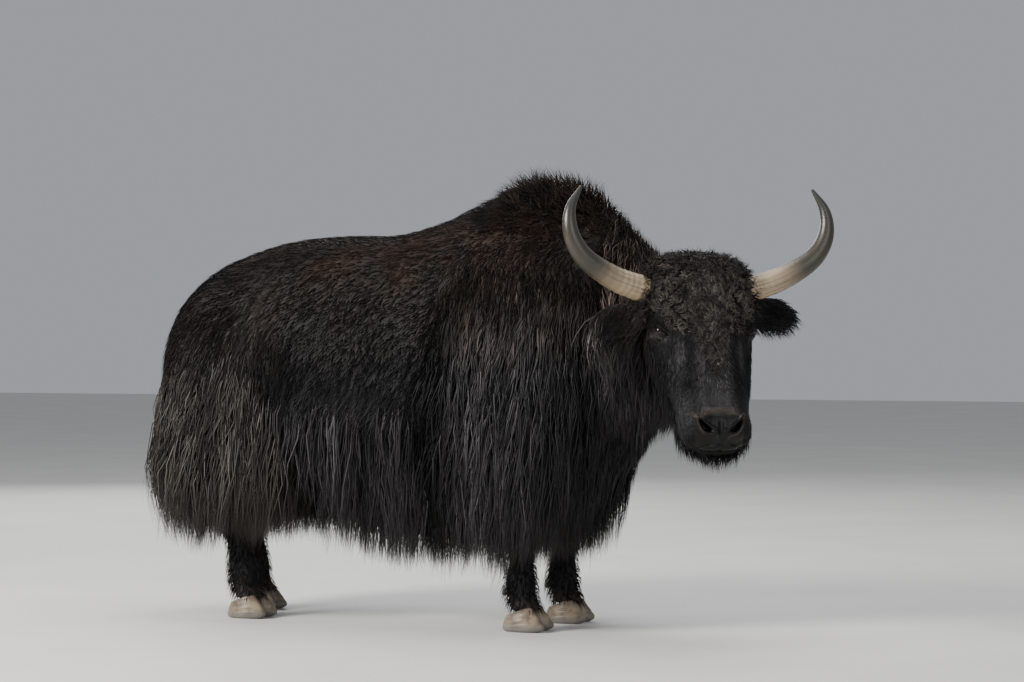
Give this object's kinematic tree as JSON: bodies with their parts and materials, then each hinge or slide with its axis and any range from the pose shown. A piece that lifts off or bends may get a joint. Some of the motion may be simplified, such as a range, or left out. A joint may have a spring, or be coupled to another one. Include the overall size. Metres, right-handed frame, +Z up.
{
  "type": "yak",
  "caption": "Life-size still model of a long-haired black yak bull that stands with its head lowered and turned to its right.",
  "frame": {"origin": "on the floor under the middle of the animal's whole box", "axes": "+X along the trunk towards the chest, +Y to the animal's left, +Z up"},
  "size_m": [2.2887, 0.8249, 1.3747],
  "materials": {
    "coat_brown": "long soft hair, black with a brown cast on the back",
    "coat_black": "long soft hair, black",
    "horn": "smooth grey horn, darker at the tip",
    "hoof": "dull tan horn",
    "eye": "wet, dark brown"
  },
  "bodies": {
    "root": {"torso_shoulders": "coat_brown", "torso_barrel": "coat_brown", "torso_hindquarters": "coat_brown", "neck": "coat_black", "head": "coat_black", "tail": "coat_black", "ear_right": "coat_black", "ear_left": "coat_black", "apron_right": "coat_black", "apron_left": "coat_black", "skirt_right": "coat_black", "skirt_left": "coat_black", "breech_right": "coat_black", "breech_left": "coat_black", "leg_fore_right": "coat_black", "leg_fore_left": "coat_black", "leg_hind_right": "coat_black", "leg_hind_left": "coat_black", "horn_right": "horn", "horn_left": "horn", "eye_right": "eye", "eye_left": "eye", "hoof_fore_right_outer": "hoof", "dewclaw_fore_right_outer": "hoof", "hoof_fore_right_inner": "hoof", "dewclaw_fore_right_inner": "hoof", "hoof_fore_left_outer": "hoof", "dewclaw_fore_left_outer": "hoof", "hoof_fore_left_inner": "hoof", "dewclaw_fore_left_inner": "hoof", "hoof_hind_right_outer": "hoof", "dewclaw_hind_right_outer": "hoof", "hoof_hind_right_inner": "hoof", "dewclaw_hind_right_inner": "hoof", "hoof_hind_left_outer": "hoof", "dewclaw_hind_left_outer": "hoof", "hoof_hind_left_inner": "hoof", "dewclaw_hind_left_inner": "hoof"}
  },
  "joints": []
}
